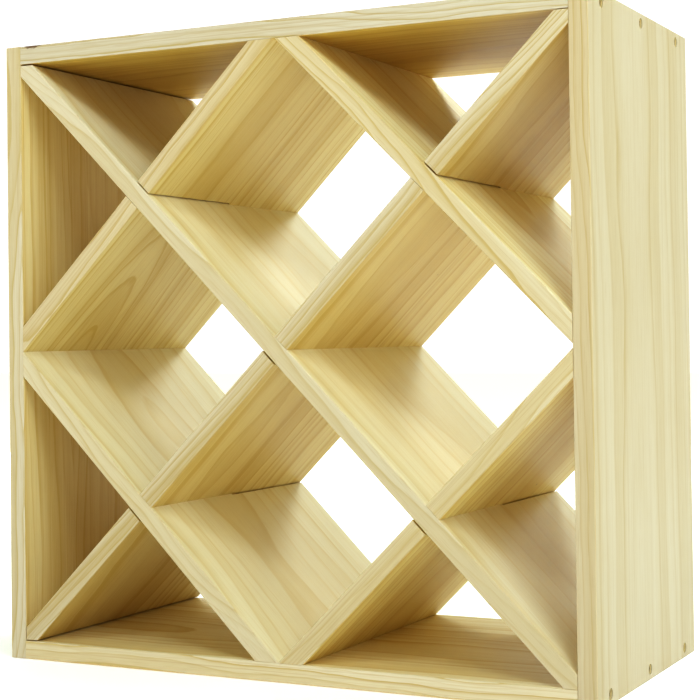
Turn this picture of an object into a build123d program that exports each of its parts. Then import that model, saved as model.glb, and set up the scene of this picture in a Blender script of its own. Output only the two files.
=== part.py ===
from build123d import *
import os
from math import atan2, degrees, hypot, sin

# A square wine rack of solid pine, open at the front and the back. Two side panels run the full
# height, with the top and bottom panels screwed in between them. Six slats, half-lapped into one
# another, stand inside the frame as a lattice: two long ones from corner to corner, and four short
# ones that make a diamond between the middles of the panels. Bottles lie in the cells, front to back.
# X runs from left to right, Y from front to back and Z up. The origin is the middle of the underside,
# and every size is in millimetres.

# Driving dimensions
rack_width = 500.0
rack_height = 500.0
rack_depth = 248.0
panel_thickness = 14.5
slat_thickness = 14.5
eased_edge = 0.8  # radius that the boards' long edges are rubbed down to

# Fits of the lattice, which is pushed in by hand and comes out again
slot_clearance = 1.2  # how much wider a slot is than the slat that it holds
lap_clearance = 0.3  # how much deeper than half the depth a slot goes
falling_head_gap = 1.4  # from the long falling slat's upper point to the top panel
rising_foot_gap = 0.9  # from the long rising slat's lower point to the left and bottom panels
rising_head_gap = 0.6  # from the long rising slat's upper point to the top panel
upper_right_shift = 2.0  # how much further out the upper right slat stands than the other three

# Screws that hold the frame's corners, countersunk with a cross recess
screws_per_joint = 3
screw_edge_distance = 29.0  # from the front and back edges to the outer screws
screw_length = 40.0
thread_diameter = 4.0
thread_root_diameter = 2.6
thread_pitch = 1.8
screw_tip_length = 4.0
screw_neck_length = 3.0  # the plain part between the head and the thread
head_diameter = 7.6
head_rim = 0.5  # height of the short cylinder round the top of the head
head_sink = 1.8  # from the side panel's face down to the top of the head
recess_width = 4.4
recess_floor_width = 1.6
recess_slot = 1.0
recess_depth = 2.0
recess_turn = 37.0  # degrees between the recesses of one screw and the next

# Holes for the screws
head_clearance = 0.3  # on the radius of the bore that the head is sunk into
shank_clearance = 0.2  # on the radius of the hole through the side panel
thread_clearance = 0.05  # on the radius of the hole in the end grain, over the thread's crests
pilot_spare_depth = 2.0  # from the screw's point to the bottom of its hole

# Sizes that follow from the ones above
inner_width = rack_width - 2 * panel_thickness
inner_height = rack_height - 2 * panel_thickness
centre_height = rack_height / 2
lean_angle = atan2(inner_height, inner_width)
short_slat_offset = inner_width / 2 * sin(lean_angle) + slat_thickness / 2
past_the_rack = 2 * hypot(rack_width, rack_height)
head_radius = head_diameter / 2
neck_radius = thread_root_diameter / 2
thread_radius = thread_diameter / 2
shank_hole_radius = thread_radius + shank_clearance

# Which way a slat leans, seen from the front: RISING goes up to the right, FALLING down to the right
RISING = 1
FALLING = -1

# Each slat: its lean, and how far its middle plane stands from the centre of the rack. The offset
# counts towards the upper left for a rising slat and towards the upper right for a falling one.
slats = {
    "long_rising_slat": (RISING, 0.0),
    "long_falling_slat": (FALLING, 0.0),
    "upper_left_slat": (RISING, short_slat_offset),
    "lower_right_slat": (RISING, -short_slat_offset),
    "upper_right_slat": (FALLING, short_slat_offset + upper_right_shift),
    "lower_left_slat": (FALLING, -short_slat_offset),
}

# Gaps between a long slat's points and the panels round it. The short slats fit with none.
end_gaps = {
    "long_rising_slat": {"left": rising_foot_gap, "bottom": rising_foot_gap, "top": rising_head_gap},
    "long_falling_slat": {"top": falling_head_gap},
}

# Each half-lap: the rising slat, the falling slat, and the side on which the slack of the rising
# slat's slot and of the falling slat's slot lies. A side counts as the offset of the slat in the slot.
half_laps = [
    ("long_rising_slat", "long_falling_slat", -1, 1),
    ("long_rising_slat", "upper_right_slat", 1, 1),
    ("long_rising_slat", "lower_left_slat", -1, -1),
    ("upper_left_slat", "long_falling_slat", 1, 1),
    ("lower_right_slat", "long_falling_slat", -1, -1),
]


def panel(width, height, grain):
    """A panel of the frame, with its long edges eased along the grain."""
    board = Box(width, rack_depth, height)
    return fillet(board.edges().filter_by(grain), min(eased_edge, panel_thickness / 3))


def leaning_board(lean, offset, thickness, front, back):
    """An endless board that leans like a slat and reaches from front to back along Y."""
    board = Box(past_the_rack, back - front, thickness)
    tilt = Rot(0, -lean * degrees(lean_angle), 0)
    return Pos(0, (front + back) / 2, centre_height) * tilt * Pos(0, 0, offset) * board


def space_in_frame(left=0.0, right=0.0, top=0.0, bottom=0.0):
    """The space between the panels, less a gap on each side."""
    width = inner_width - left - right
    height = inner_height - top - bottom
    place = Pos((left - right) / 2, 0, centre_height + (bottom - top) / 2)
    return place * Box(width, past_the_rack, height)


def slat(name):
    """A slat with its mitred ends and eased edges, before its slots are cut."""
    lean, offset = slats[name]
    board = leaning_board(lean, offset, slat_thickness, -rack_depth / 2, rack_depth / 2)
    board = (board & space_in_frame(**end_gaps.get(name, {}))).solid()
    along = Axis((0, 0, 0), (inner_width, 0, lean * inner_height))
    return fillet(board.edges().filter_by(along), min(eased_edge, slat_thickness / 3))


def slot_for(name, slack_side, front, back):
    """The space that the named slat needs in a slat that it crosses."""
    lean, offset = slats[name]
    middle = offset + slack_side * slot_clearance / 2
    return leaning_board(lean, middle, slat_thickness + slot_clearance, front, back)


def lattice():
    """The six slats. Rising slats are slotted from the front, and falling slats from the back."""
    pieces = {name: slat(name) for name in slats}
    for rising, falling, front_slack, back_slack in half_laps:
        pieces[rising] -= slot_for(falling, front_slack, -rack_depth, lap_clearance)
        pieces[falling] -= slot_for(rising, back_slack, -lap_clearance, rack_depth)
    return pieces


def turned(profile):
    """The solid that a closed outline of (radius, height) points makes when it turns about Z."""
    outline = Polyline(*[(radius, 0, height) for radius, height in profile], close=True)
    return revolve(make_face(outline), Axis.Z)


def cross_recess():
    """Two crossed slots that narrow towards the bottom, cut down from the top of the head."""
    top = recess_width / 2
    floor = recess_floor_width / 2
    rim = [(-top, 0, 0), (top, 0, 0)]
    bottom = [(floor, 0, -recess_depth), (-floor, 0, -recess_depth)]
    outline = Polyline(*rim, *bottom, close=True)
    wing = extrude(make_face(outline), amount=recess_slot / 2, both=True)
    return wing + Rot(0, 0, 90) * wing


def screw():
    """A screw that points down, with the top of its head at the origin and its thread as rings."""
    head_cone = head_radius - neck_radius
    thread_start = head_rim + head_cone + screw_neck_length
    tip_start = screw_length - screw_tip_length
    rings = int((tip_start - thread_start) / thread_pitch)
    profile = [(0, 0), (head_radius, 0), (head_radius, -head_rim), (neck_radius, -head_rim - head_cone)]
    for ring in range(rings):
        top = -thread_start - ring * thread_pitch
        profile += [(neck_radius, top), (thread_radius, top - thread_pitch / 2)]
    profile += [(neck_radius, -thread_start - rings * thread_pitch)]
    profile += [(neck_radius, -tip_start), (0, -screw_length)]
    return turned(profile) - cross_recess()


def side_hole():
    """The hole for one screw in a side panel: a bore for the head, its conical seat and a clear hole."""
    bore_radius = head_radius + head_clearance
    seat_depth = head_radius - shank_hole_radius
    return turned([
        (0, past_the_rack),
        (bore_radius, past_the_rack),
        (bore_radius, -head_rim),
        (head_radius, -head_rim),
        (shank_hole_radius, -head_rim - seat_depth),
        (shank_hole_radius, -panel_thickness),
        (0, -panel_thickness),
    ])


def end_grain_hole():
    """The hole that the thread of one screw fills in the end of the top or bottom panel."""
    depth = screw_length + pilot_spare_depth
    return Pos(0, 0, -depth / 2) * Cylinder(thread_radius + thread_clearance, depth)


def screw_places(side, height):
    """Where the screws of one corner go, with local Z pointing out of the side panel."""
    reach = rack_depth / 2 - screw_edge_distance
    face = rack_width / 2 - head_sink
    for index in range(screws_per_joint):
        y = -reach + index * 2 * reach / (screws_per_joint - 1)
        yield Pos(side * face, y, height) * Rot(0, side * 90, 0), index * recess_turn


sides = {"left": -1, "right": 1}
levels = {"bottom": panel_thickness / 2, "top": rack_height - panel_thickness / 2}

pieces = lattice()
for side, sign in sides.items():
    place = Pos(sign * (rack_width - panel_thickness) / 2, 0, centre_height)
    pieces[f"{side}_side_panel"] = place * panel(panel_thickness, rack_height, Axis.Z)
for level, height in levels.items():
    pieces[f"{level}_panel"] = Pos(0, 0, height) * panel(inner_width, panel_thickness, Axis.X)

for side, sign in sides.items():
    for level, height in levels.items():
        corner = []
        for place, turn in screw_places(sign, height):
            corner.append(place * Rot(0, 0, turn) * screw())
            pieces[f"{side}_side_panel"] -= place * side_hole()
            pieces[f"{level}_panel"] -= place * end_grain_hole()
        pieces[f"{level}_{side}_screws"] = Compound(children=corner)

os.makedirs("parts", exist_ok=True)
for name, piece in pieces.items():
    export_step(piece, f"parts/{name}.step")
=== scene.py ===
import bmesh
import bpy
from math import atan2, pi
from mathutils import Euler, Matrix, Vector


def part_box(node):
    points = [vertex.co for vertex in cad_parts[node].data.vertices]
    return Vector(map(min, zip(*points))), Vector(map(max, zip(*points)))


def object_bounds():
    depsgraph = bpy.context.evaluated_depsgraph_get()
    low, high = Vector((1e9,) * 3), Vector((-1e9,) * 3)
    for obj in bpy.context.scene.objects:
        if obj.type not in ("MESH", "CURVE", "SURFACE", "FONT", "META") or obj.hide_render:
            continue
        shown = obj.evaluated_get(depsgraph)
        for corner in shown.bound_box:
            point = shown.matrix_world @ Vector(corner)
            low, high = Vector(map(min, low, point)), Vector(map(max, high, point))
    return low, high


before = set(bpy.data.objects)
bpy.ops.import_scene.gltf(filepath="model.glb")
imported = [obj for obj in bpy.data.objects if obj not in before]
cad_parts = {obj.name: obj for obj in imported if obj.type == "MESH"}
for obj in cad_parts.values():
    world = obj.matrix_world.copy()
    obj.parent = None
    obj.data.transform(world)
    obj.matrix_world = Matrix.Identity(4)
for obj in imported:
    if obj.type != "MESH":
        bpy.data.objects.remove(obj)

# A square wine rack of solid pine, standing in a white studio. The boards and screws are the
# frame's own pieces. This script gives them their wood and metal, and adds the floor, the light
# and the camera.

cad_box = [list(corner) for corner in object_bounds()]
lowest, highest = (Vector(corner) for corner in cad_box)
rack_middle = (lowest + highest) / 2

MM = 0.001
half_depth = (highest.y - lowest.y) / 2 / MM
half_height = (highest.z - lowest.z) / 2 / MM
half_panel = (highest.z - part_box("top_panel")[0].z) / 2 / MM
SKIN = 0.7  # how deep, in mm, a colour of its own goes into an edge or an outer face


# ---------------------------------------------------------------- recipes for materials

# The sockets that a Mix node uses for colours
FIRST_COLOUR, SECOND_COLOUR, MIXED_COLOUR = 6, 7, 2


def opaque(colour):
    """A colour with a full alpha, as sockets want it."""
    return (*colour, 1.0)


class Recipe:
    """One material's node tree, with short ways to add nodes to it."""

    def __init__(self, name):
        self.material = bpy.data.materials.new(name)
        self.material.use_nodes = True
        self.tree = self.material.node_tree
        self.shader = self.tree.nodes["Principled BSDF"]

    def feed(self, socket, value):
        """Links a socket to another node's output, or sets it to a constant."""
        if isinstance(value, bpy.types.NodeSocket):
            self.tree.links.new(value, socket)
        else:
            socket.default_value = value

    def add(self, kind, output, settings=(), **inputs):
        """Adds a node, feeds its named inputs and returns one of its outputs."""
        node = self.tree.nodes.new(kind)
        for key, value in dict(settings).items():
            setattr(node, key, value)
        for key, value in inputs.items():
            self.feed(node.inputs[key.replace("_", " ")], value)
        return node.outputs[output]

    def maths(self, operation, *values, clamp=False):
        """A Math node, such as ADD, MULTIPLY or FLOOR."""
        node = self.tree.nodes.new("ShaderNodeMath")
        node.operation = operation
        node.use_clamp = clamp
        for socket, value in zip(node.inputs, values):
            self.feed(socket, value)
        return node.outputs[0]

    def vector(self, operation, *values, output=0):
        """A Vector Math node."""
        node = self.tree.nodes.new("ShaderNodeVectorMath")
        node.operation = operation
        for socket, value in zip(node.inputs, values):
            self.feed(socket, value)
        return node.outputs[output]

    def split(self, vector):
        """The three parts of a vector."""
        node = self.tree.nodes.new("ShaderNodeSeparateXYZ")
        self.feed(node.inputs[0], vector)
        return node.outputs[0], node.outputs[1], node.outputs[2]

    def join(self, x, y, z):
        """A vector of three parts."""
        node = self.tree.nodes.new("ShaderNodeCombineXYZ")
        for socket, value in zip(node.inputs, (x, y, z)):
            self.feed(socket, value)
        return node.outputs[0]

    def noise(self, place, detail=2.0, roughness=0.5, output="Fac"):
        """Soft noise, about one lump to a unit of length."""
        return self.add("ShaderNodeTexNoise", output, {"noise_dimensions": "3D"}, Vector=place,
                        Scale=1.0, Detail=detail, Roughness=roughness)

    def noise_line(self, place, length, **inputs):
        """Soft noise along a single number, about one lump to a length."""
        return self.add("ShaderNodeTexNoise", "Fac", {"noise_dimensions": "1D"}, W=place,
                        Scale=1 / length, **inputs)

    def cells(self, output, settings, **inputs):
        """A Voronoi texture."""
        return self.add("ShaderNodeTexVoronoi", output, settings, Scale=1.0, **inputs)

    def ramp(self, value, *stops):
        """A number for each stop (place, number), with straight runs between them."""
        node = self.tree.nodes.new("ShaderNodeValToRGB")
        band = node.color_ramp
        while len(band.elements) < len(stops):
            band.elements.new(1.0)
        for element, (place, level) in zip(band.elements, stops):
            element.position = place
            element.color = (level, level, level, 1.0)
        self.feed(node.inputs[0], value)
        return node.outputs[0]

    def blend(self, factor, first, second):
        """A Mix node for colours."""
        node = self.tree.nodes.new("ShaderNodeMix")
        node.data_type = "RGBA"
        self.feed(node.inputs[0], factor)
        self.feed(node.inputs[FIRST_COLOUR], first)
        self.feed(node.inputs[SECOND_COLOUR], second)
        return node.outputs[MIXED_COLOUR]

    def spread(self, value, low, high):
        """Turns 0 to 1 into low to high."""
        return self.add("ShaderNodeMapRange", 0, (), Value=value, To_Min=low, To_Max=high)

    def beyond(self, value, limit):
        """1 where a number is further from nought than a limit, and 0 elsewhere."""
        return self.maths("GREATER_THAN", self.maths("ABSOLUTE", value), limit)


# ---------------------------------------------------------------- pine

# The mean colours of the front edges, paler and cooler than the faces as painted light, and of the
# back edges, darker as painted shade
EDGE = (0.795, 0.684, 0.475)
BACK_EDGE_PAINTED_SHADE = (0.640, 0.550, 0.380)

# How early wood, late wood, streaks and flecks stand to a mean colour
EARLY = (1.035, 1.055, 1.120)
LATE = (0.855, 0.765, 0.500)
STREAK = (0.800, 0.680, 0.440)
FLECK = (0.300, 0.190, 0.120)

EDGE_RING = 3.4  # how wide a year shows on a front or back edge, in mm

# How much late wood there is as a year goes by, from one winter to the next
LATE_WOOD = ((0.0, 0.0), (0.45, 0.05), (0.74, 0.30), (0.88, 0.85), (0.95, 1.0), (1.0, 0.02))


class Pine(Recipe):
    """Pine with its year rings round a heart line beside the board, so faces and ends agree.

    Lengths are in mm, along the grain, across the board and through it.
    """

    def __init__(self, name, lie, middle, seed):
        """lie turns the rack's axes to the board's, X along, Y across and Z through."""
        super().__init__(name)
        self.seed = seed
        offset = -(Euler(lie).to_matrix() @ Vector(middle)) / MM
        rack = self.tree.nodes.new("ShaderNodeTexCoord").outputs["Object"]
        self.place = self.add("ShaderNodeMapping", 0, {"vector_type": "POINT"}, Vector=rack,
                              Location=offset, Rotation=lie, Scale=(1 / MM, 1 / MM, 1 / MM))
        self.grown = self.place
        self.seeded = self.vector("ADD", self.place, (seed * 613.0, seed * 271.0, seed * 97.0))

    def glue_up(self, width):
        """Makes the board of strips about as wide as width, each from another part of the log.

        Returns the distance from the nearest glue line and a number for each strip.
        """
        _, across, _ = self.split(self.place)
        row = self.maths("ADD", self.maths("DIVIDE", across, width), self.seed * 3.7)
        nearest = {"voronoi_dimensions": "1D", "feature": "F1"}
        strip = self.cells("Color", nearest, W=row, Randomness=0.45)
        borders = {"voronoi_dimensions": "1D", "feature": "DISTANCE_TO_EDGE"}
        seam = self.cells("Distance", borders, W=row, Randomness=0.45)
        seam = self.maths("MULTIPLY", seam, width)
        _, _, strip_tone = self.split(strip)
        shift = self.vector("SUBTRACT", strip, (0.5, 0.5, 0.5))
        shift = self.vector("MULTIPLY", shift, (900.0, 70.0, 50.0))
        self.grown = self.vector("ADD", self.place, shift)
        self.seeded = self.vector("ADD", self.seeded, shift)
        return seam, strip_tone

    def lumps(self, length, width, detail=2.0, roughness=0.5):
        """Noise in lumps of a length along the grain and a width across it."""
        size = (1 / length, 1 / width, 1 / width)
        return self.noise(self.vector("MULTIPLY", self.seeded, size), detail, roughness)

    def from_heart(self, heart, drift, straight_from, wander):
        """The distance from the heart line, which wanders slowly along the board."""
        along, across, through = self.split(self.grown)
        slow = self.vector("MULTIPLY", self.seeded, (1 / 260.0, 1 / 150.0, 1 / 150.0))
        astray = self.noise(slow, 1.5, output="Color")
        astray = self.vector("SUBTRACT", astray, (0.5, 0.5, 0.5))
        astray = self.vector("MULTIPLY", astray, (0.0, wander, wander))
        _, astray_across, astray_through = self.split(astray)
        drifted = self.maths("SMOOTH_MIN", along, straight_from, 60.0)
        side = self.maths("SUBTRACT", across, heart[0])
        side = self.maths("MULTIPLY_ADD", drifted, drift[0], side)
        side = self.maths("ADD", side, astray_across)
        deep = self.maths("SUBTRACT", through, heart[1])
        deep = self.maths("MULTIPLY_ADD", drifted, drift[1], deep)
        deep = self.maths("ADD", deep, astray_through)
        radius = self.vector("LENGTH", self.join(0.0, side, deep), output="Value")
        ripple = self.maths("SUBTRACT", self.lumps(45.0, 16.0), 0.5)
        return self.maths("ADD", radius, self.maths("MULTIPLY", ripple, 2.4))

    def late_wood(self, radius, ring, edge):
        """Lines of late wood, in wide and narrow years that fade here and there."""
        uneven = self.noise_line(self.maths("ADD", radius, self.seed * 57.0), 26.0, Detail=1.0)
        ring_here = self.spread(edge, ring, EDGE_RING)
        year = self.maths("DIVIDE", self.maths("MULTIPLY_ADD", uneven, 15.0, radius), ring_here)
        late = self.ramp(self.maths("FRACT", year), *LATE_WOOD)
        number = self.maths("ADD", self.maths("FLOOR", year), self.seed)
        strength = self.add("ShaderNodeTexWhiteNoise", "Value", {"noise_dimensions": "1D"},
                            W=number)
        late = self.maths("MULTIPLY", late, self.spread(strength, 0.30, 1.0))
        late = self.maths("MULTIPLY", late, self.spread(self.lumps(130.0, 26.0), 0.45, 1.45))
        return self.maths("MULTIPLY", late, self.spread(self.lumps(100.0, 2.6), 0.60, 1.40))

    def warm_bands(self, radius):
        """Warmer bands that follow the rings."""
        zone = self.noise_line(self.maths("ADD", radius, self.seed * 31.0 + 400.0), 22.0,
                               Detail=2.0, Roughness=0.6)
        return self.maths("MULTIPLY", self.ramp(zone, (0.44, 0.0), (0.62, 1.0)), 0.34)

    def streaked(self, surface, figure):
        """Adds long fine streaks, and the short dashes of resin canals."""
        hair = self.ramp(self.lumps(420.0, 1.7, 2.0, 0.6), (0.55, 0.0), (0.70, 1.0))
        hair = self.maths("MULTIPLY", hair, 0.30 * figure)
        surface = self.blend(hair, surface, opaque(STREAK))
        dash = self.ramp(self.lumps(22.0, 0.8, 0.0), (0.68, 0.0), (0.80, 1.0))
        return self.blend(self.maths("MULTIPLY", dash, 0.22), surface, opaque(STREAK))

    def flecked(self, surface):
        """Adds a few dark flecks, which go through the board."""
        spread_out = self.vector("MULTIPLY", self.seeded, (1 / 60.0, 1 / 60.0, 1 / 400.0))
        spots = {"voronoi_dimensions": "3D", "feature": "F1"}
        gap = self.cells("Distance", spots, Vector=spread_out)
        picked, _, _ = self.split(self.cells("Color", spots, Vector=spread_out))
        fleck = self.ramp(gap, (0.010, 1.0), (0.024, 0.0))
        fleck = self.maths("MULTIPLY", fleck, self.maths("GREATER_THAN", picked, 0.62))
        return self.blend(self.maths("MULTIPLY", fleck, 0.75), surface, opaque(FLECK))

    def with_bark(self, surface, place, size):
        """Adds a ragged trace of bark."""
        reach = self.vector("DIVIDE", self.vector("SUBTRACT", self.place, place), size)
        reach = self.vector("LENGTH", reach, output="Value")
        reach = self.maths("SUBTRACT", reach, 0.8)
        ragged = self.maths("MULTIPLY_ADD", self.lumps(6.0, 1.2, 3.0), 1.6, reach)
        bark = self.ramp(ragged, (0.70, 0.9), (1.0, 0.0))
        return self.blend(bark, surface, opaque(FLECK))

    def mean_colour(self, colour, edge, edge_colour, outside):
        """The board's mean colour, with the ones of its edges and of its outer face and ends: lit
        and shaded copies of one wood, whose differences are painted light and shade.
        """
        along, across, through = self.split(self.place)
        mean = opaque(colour)
        if outside:
            way_out, outer_painted_colour = outside
            depth_out = self.maths("MULTIPLY", through, way_out)
            outer = self.maths("GREATER_THAN", depth_out, half_panel - SKIN)
            outer = self.maths("MAXIMUM", outer, self.beyond(along, half_height - SKIN))
            # The outer face and ends take a colour of their own, darker or brighter than the inner
            # faces, as painted light and shade
            mean = self.blend(outer, mean, opaque(outer_painted_colour))
        # The back edges take a darker colour, as painted shade
        behind = self.maths("GREATER_THAN", across, 0.0)
        return self.blend(edge, mean, self.blend(behind, opaque(edge_colour), opaque(BACK_EDGE_PAINTED_SHADE)))

    def varnish(self, late, fibre):
        """A satin varnish, which fills the late wood better than the open early wood."""
        rough = self.maths("MULTIPLY_ADD", late, -0.06, self.spread(fibre, 0.38, 0.54))
        self.feed(self.shader.inputs["Roughness"], rough)
        height = self.maths("MULTIPLY", late, 0.5)
        height = self.maths("ADD", height, self.maths("MULTIPLY", fibre, 0.6))
        bump = self.add("ShaderNodeBump", 0, (), Strength=0.25, Distance=0.00012, Height=height)
        self.feed(self.shader.inputs["Normal"], bump)
        self.shader.inputs["Specular IOR Level"].default_value = 0.42


def pine(name, lie, middle, heart, colour, edge_colour=EDGE, outside=None, drift=(0.0, 0.0),
         straight_from=900.0, wander=26.0, ring=9.0, seed=0.0, figure=1.0, staves=0.0, bark=None):
    """One board's pine.

    lie turns the rack's axes to the board's, and middle is the board's middle. heart is where the
    log's heart lies from there, across and through the board. drift is how far it moves for each
    millimetre along the grain, as far as straight_from, and wander is how far it strays besides.
    ring is the width of a year, seed picks the noise, and figure is how strongly the years show.
    colour and edge_colour are the mean colours of the faces and of the front edge. They are set
    board by board, so they hold painted light and shade as well as the board's own tone.
    outside is the way through the board to the rack's outside, 1 or -1, and the mean colour there.
    That colour makes the outer face and ends a differently lit copy of the same wood, as painted
    light and shade.
    staves is the width of the strips that the board is glued up from. bark is the place and size
    of a trace of bark.
    """
    wood = Pine(name, lie, middle, seed)
    if staves:
        seam, strip_tone = wood.glue_up(staves)
    _, across_board, _ = wood.split(wood.place)
    edge = wood.beyond(across_board, half_depth - SKIN)

    radius = wood.from_heart(heart, drift, straight_from, wander)
    late = wood.late_wood(radius, ring, edge)
    fibre = wood.lumps(40.0, 0.9, 3.0, 0.65)
    fine = wood.maths("MULTIPLY", wood.ramp(fibre, (0.40, 0.0), (0.75, 1.0)), 0.20)
    fine = wood.maths("ADD", wood.warm_bands(radius), fine)
    clouds = wood.spread(wood.lumps(240.0, 50.0, 3.0), -0.16, 0.24)
    mix = wood.maths("ADD", wood.maths("MULTIPLY", late, 0.85), fine)
    mix = wood.maths("MULTIPLY_ADD", mix, figure, clouds, clamp=True)

    surface = wood.blend(mix, opaque(EARLY), opaque(LATE))
    surface = wood.flecked(wood.streaked(surface, figure))
    if bark:
        surface = wood.with_bark(surface, **bark)
    if staves:
        glue = wood.ramp(seam, (0.0, 0.6), (0.5, 0.0))
        surface = wood.blend(glue, surface, opaque(STREAK))
        surface = wood.blend(wood.spread(strip_tone, 0.0, 0.30), surface, opaque(LATE))
    mean = wood.mean_colour(colour, edge, edge_colour, outside)
    wood.feed(wood.shader.inputs["Base Color"], wood.vector("MULTIPLY", surface, mean))
    wood.varnish(late, fibre)
    return wood.material


def screw_metal():
    """Yellow zinc-plated steel, mottled where the plating has worn."""
    metal = Recipe("yellow_zinc_screw")
    place = metal.tree.nodes.new("ShaderNodeTexCoord").outputs["Object"]
    mottle = metal.noise(metal.vector("MULTIPLY", place, (700.0, 700.0, 700.0)), detail=3.0)
    worn = metal.ramp(mottle, (0.38, 0.0), (0.62, 1.0))
    colour = metal.blend(worn, (0.74, 0.62, 0.40, 1.0), (0.30, 0.22, 0.12, 1.0))
    metal.feed(metal.shader.inputs["Base Color"], colour)
    metal.feed(metal.shader.inputs["Roughness"], metal.spread(mottle, 0.24, 0.42))
    metal.shader.inputs["Metallic"].default_value = 1.0
    return metal.material


def paint(node, material):
    """Gives a frame node one material."""
    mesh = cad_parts[node].data
    mesh.materials.clear()
    mesh.materials.append(material)


# ---------------------------------------------------------------- the boards

def node_middle(name):
    """The middle of a node's box."""
    low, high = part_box(name)
    return (low + high) / 2


slat_low, slat_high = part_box("upper_left_slat")
lean = atan2(slat_high.z - slat_low.z, slat_high.x - slat_low.x)
UPRIGHT = (0.0, pi / 2, 0.0)
LEVEL = (0.0, 0.0, 0.0)
RISING = (0.0, lean, 0.0)
FALLING = (0.0, -lean, 0.0)

# Each board's colours are set to how bright it looks where it stands, so besides its own tone they
# hold painted light and shade. They are brighter on boards in shaded cells, such as the upper and
# lower right slats and the bottom. The top panel's underside is darker and more saturated, and the
# outer faces are darker.
boards = {
    "left_side_panel": dict(
        lie=UPRIGHT, colour=(0.885, 0.765, 0.450), edge_colour=(0.800, 0.710, 0.560),
        outside=(1, (0.660, 0.560, 0.370)), heart=(10.0, 70.0), drift=(0.01, 0.01), seed=1.3,
        figure=1.35, staves=29.0),
    "right_side_panel": dict(
        lie=UPRIGHT, colour=(0.880, 0.755, 0.440), edge_colour=(0.725, 0.608, 0.412),
        outside=(-1, (0.672, 0.570, 0.382)), heart=(-20.0, -95.0), drift=(0.02, 0.0),
        ring=13.0, seed=2.1, figure=0.7),
    "top_panel": dict(
        lie=LEVEL, colour=(0.750, 0.568, 0.170), edge_colour=(0.728, 0.640, 0.485),
        outside=(1, (0.630, 0.545, 0.345)), heart=(30.0, 80.0), drift=(0.01, 0.02), seed=3.7,
        figure=1.25, bark=dict(place=(-224.0, -123.5, 6.8), size=(9.0, 2.5, 2.0))),
    "bottom_panel": dict(
        lie=LEVEL, colour=(0.910, 0.810, 0.545), edge_colour=(0.860, 0.755, 0.555),
        heart=(-30.0, -80.0), drift=(0.01, 0.02), seed=4.4, figure=1.3),
    "long_rising_slat": dict(
        lie=RISING, colour=(0.778, 0.648, 0.325), edge_colour=(0.755, 0.648, 0.460),
        heart=(-60.0, 90.0), drift=(0.02, 0.01), ring=10.0, seed=5.2, figure=1.45),
    "long_falling_slat": dict(
        lie=FALLING, colour=(0.840, 0.757, 0.525), edge_colour=(0.765, 0.655, 0.453),
        heart=(40.0, -90.0), drift=(0.02, 0.01), wander=50.0, ring=12.0, seed=6.9, figure=0.6),
    "upper_left_slat": dict(
        lie=RISING, colour=(0.785, 0.670, 0.345), edge_colour=(0.765, 0.640, 0.420),
        heart=(-58.0, 45.0), drift=(0.05, -0.2), straight_from=-20.0, wander=10.0, seed=7.5,
        figure=1.3),
    "upper_right_slat": dict(
        lie=FALLING, colour=(0.955, 0.880, 0.575), heart=(20.0, -80.0), drift=(0.0, 0.03),
        seed=8.3),
    "lower_left_slat": dict(
        lie=FALLING, colour=(0.855, 0.775, 0.545), heart=(-20.0, -85.0), drift=(0.02, 0.02),
        wander=50.0, ring=12.0, seed=9.1, figure=0.6),
    "lower_right_slat": dict(
        lie=RISING, colour=(0.915, 0.800, 0.417), heart=(30.0, 80.0), drift=(0.0, -0.03),
        ring=8.0, seed=10.6, figure=1.3),
}

for board, grain in boards.items():
    paint(board, pine(f"pine_{board}", middle=node_middle(board), **grain))

steel = screw_metal()
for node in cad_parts:
    if node.endswith("_screws"):
        paint(node, steel)


# ---------------------------------------------------------------- floor, light and camera

DAYLIGHT = (0.85, 1.025, 1.19)  # the softboxes and lamps are a little cool
WARM_FILL = (1.08, 1.00, 0.66)  # the light that comes back off the walls of the room is warm

FLOOR_REACH = 9.0  # how far the paper goes each way, in metres
FLOOR_DEPTH = 0.0004  # how far the paper lies below the rack's underside, in metres

# Between two distances from the rack's middle, in metres, the paper's glow grows to a higher level
GLOW = {"From Min": 0.6, "From Max": 2.2, "To Min": 0.22, "To Max": 0.76}

# The camera stands in front of the rack, to its right, at about half its height
EYE = (0.6201, -1.2333, 0.2611)
HEADING = 0.4741  # how far it turns to the left, in radians
LIFT = 0.0148  # how far it looks up
ROLL = -0.0122
FOCAL_LENGTH = 86.6  # in mm, on a sensor 36 mm wide
SHIFT = (0.0226, -0.0578)

# Name, place, size and power of each light. All of them point at the middle of the rack.
lights = [
    ("softbox_top", (0.0, 0.1, 2.5), (1.4, 1.4), 11.9),
    ("softbox_front_right", (1.6, -1.2, 1.8), (1.2, 1.0), 23.3),
    ("softbox_front_left", (-1.9, -1.9, 0.6), (1.2, 1.0), 3.4),
    ("softbox_left", (-2.4, -0.3, 0.8), (1.2, 1.2), 15.0),
    ("softbox_right", (2.4, -0.1, 0.8), (1.2, 1.2), 6.3),
    ("softbox_back", (0.0, 2.5, 0.6), (1.4, 1.0), 13.4),
    ("softbox_back_left", (-1.9, 1.7, 0.5), (1.2, 1.0), 10.0),
    ("softbox_over_back", (0.0, 1.6, 1.9), (1.4, 1.0), 6.0),
    ("lamp_over_back", (0.45, 1.50, 1.76), (0.4, 0.4), 16.3),
    ("lamp_over_front", (0.5, -1.4, 2.0), (0.4, 0.4), 8.3),
]


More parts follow.
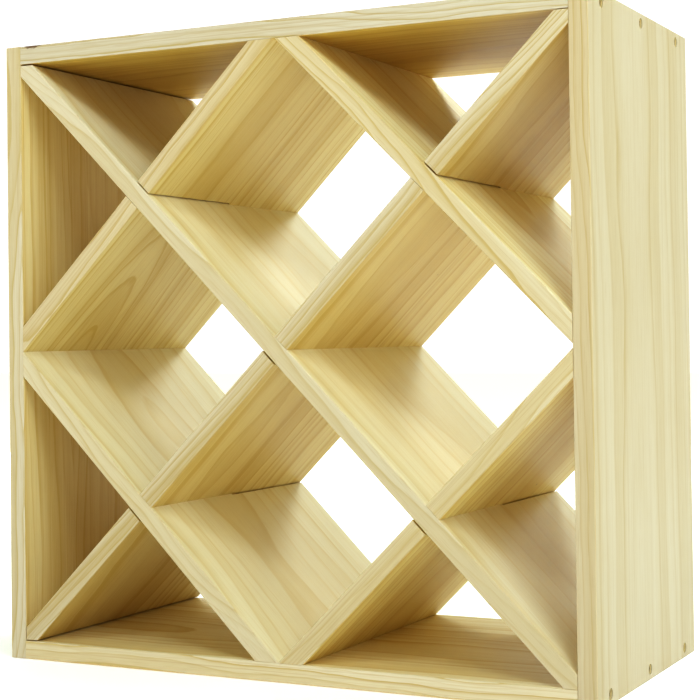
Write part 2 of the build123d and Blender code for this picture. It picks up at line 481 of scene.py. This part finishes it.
def lay_floor():
    """Wide white paper that glows, weakly near the rack and more strongly away from it: painted
    light that keeps it white and lights the rack from below.
    """
    sheet = bmesh.new()
    bmesh.ops.create_grid(sheet, x_segments=1, y_segments=1, size=FLOOR_REACH,
                          matrix=Matrix.Translation((0.0, 0.0, -FLOOR_DEPTH)))
    floor_mesh = bpy.data.meshes.new("studio_floor")
    sheet.to_mesh(floor_mesh)
    sheet.free()
    floor = bpy.data.objects.new("studio_floor", floor_mesh)
    bpy.context.scene.collection.objects.link(floor)
    paper = Recipe("white_paper")
    paper.shader.inputs["Base Color"].default_value = (0.93, 0.93, 0.92, 1.0)
    paper.shader.inputs["Roughness"].default_value = 0.9
    paper.shader.inputs["Emission Color"].default_value = (1.0, 1.0, 1.0, 1.0)
    spot = paper.tree.nodes.new("ShaderNodeTexCoord").outputs["Object"]
    distance = paper.vector("LENGTH", spot, output="Value")
    glow = paper.add("ShaderNodeMapRange", 0, (), Value=distance)
    for socket, level in GLOW.items():
        glow.node.inputs[socket].default_value = level
    paper.feed(paper.shader.inputs["Emission Strength"], glow)
    floor_mesh.materials.append(paper.material)


def hang_light(name, place, size, power):
    """A rectangular light that points at the middle of the rack."""
    light = bpy.data.lights.new(name, "AREA")
    light.shape = "RECTANGLE"
    light.size, light.size_y = size
    light.energy = power
    light.color = DAYLIGHT
    lamp = bpy.data.objects.new(name, light)
    aim = (rack_middle - Vector(place)).to_track_quat("-Z", "Y")
    lamp.matrix_world = Matrix.Translation(place) @ aim.to_matrix().to_4x4()
    bpy.context.scene.collection.objects.link(lamp)


def white_surroundings(seen, lit):
    """An even surround, white to the eye, that sheds a weaker and warmer light."""
    world = bpy.data.worlds.new("studio")
    world.use_nodes = True
    bpy.context.scene.world = world
    tree = world.node_tree
    path = tree.nodes.new("ShaderNodeLightPath")
    pick = tree.nodes.new("ShaderNodeMix")
    pick.data_type = "RGBA"
    pick.inputs[FIRST_COLOUR].default_value = opaque(lit * part for part in WARM_FILL)
    pick.inputs[SECOND_COLOUR].default_value = opaque((seen, seen, seen))
    tree.links.new(path.outputs["Is Camera Ray"], pick.inputs[0])
    tree.links.new(pick.outputs[MIXED_COLOUR], tree.nodes["Background"].inputs["Color"])


def set_up_camera():
    """A long lens with a small shift."""
    lens = bpy.data.cameras.new("camera")
    lens.sensor_width = 36.0
    lens.lens = FOCAL_LENGTH
    lens.shift_x, lens.shift_y = SHIFT
    camera = bpy.data.objects.new("camera", lens)
    heading = Matrix.Rotation(HEADING, 4, "Z")
    tilt = Matrix.Rotation(pi / 2 + LIFT, 4, "X")
    roll = Matrix.Rotation(ROLL, 4, "Z")
    camera.matrix_world = Matrix.Translation(EYE) @ heading @ tilt @ roll
    bpy.context.scene.collection.objects.link(camera)
    bpy.context.scene.camera = camera


lay_floor()
white_surroundings(seen=1.15, lit=0.35)
for name, place, size, power in lights:
    hang_light(name, place, size, power)
set_up_camera()

# the cells are lit mostly by light that goes from board to board
bpy.context.scene.cycles.diffuse_bounces = 10
view = bpy.context.scene.view_settings
view.view_transform = "Standard"
view.gamma = 1 / 1.5
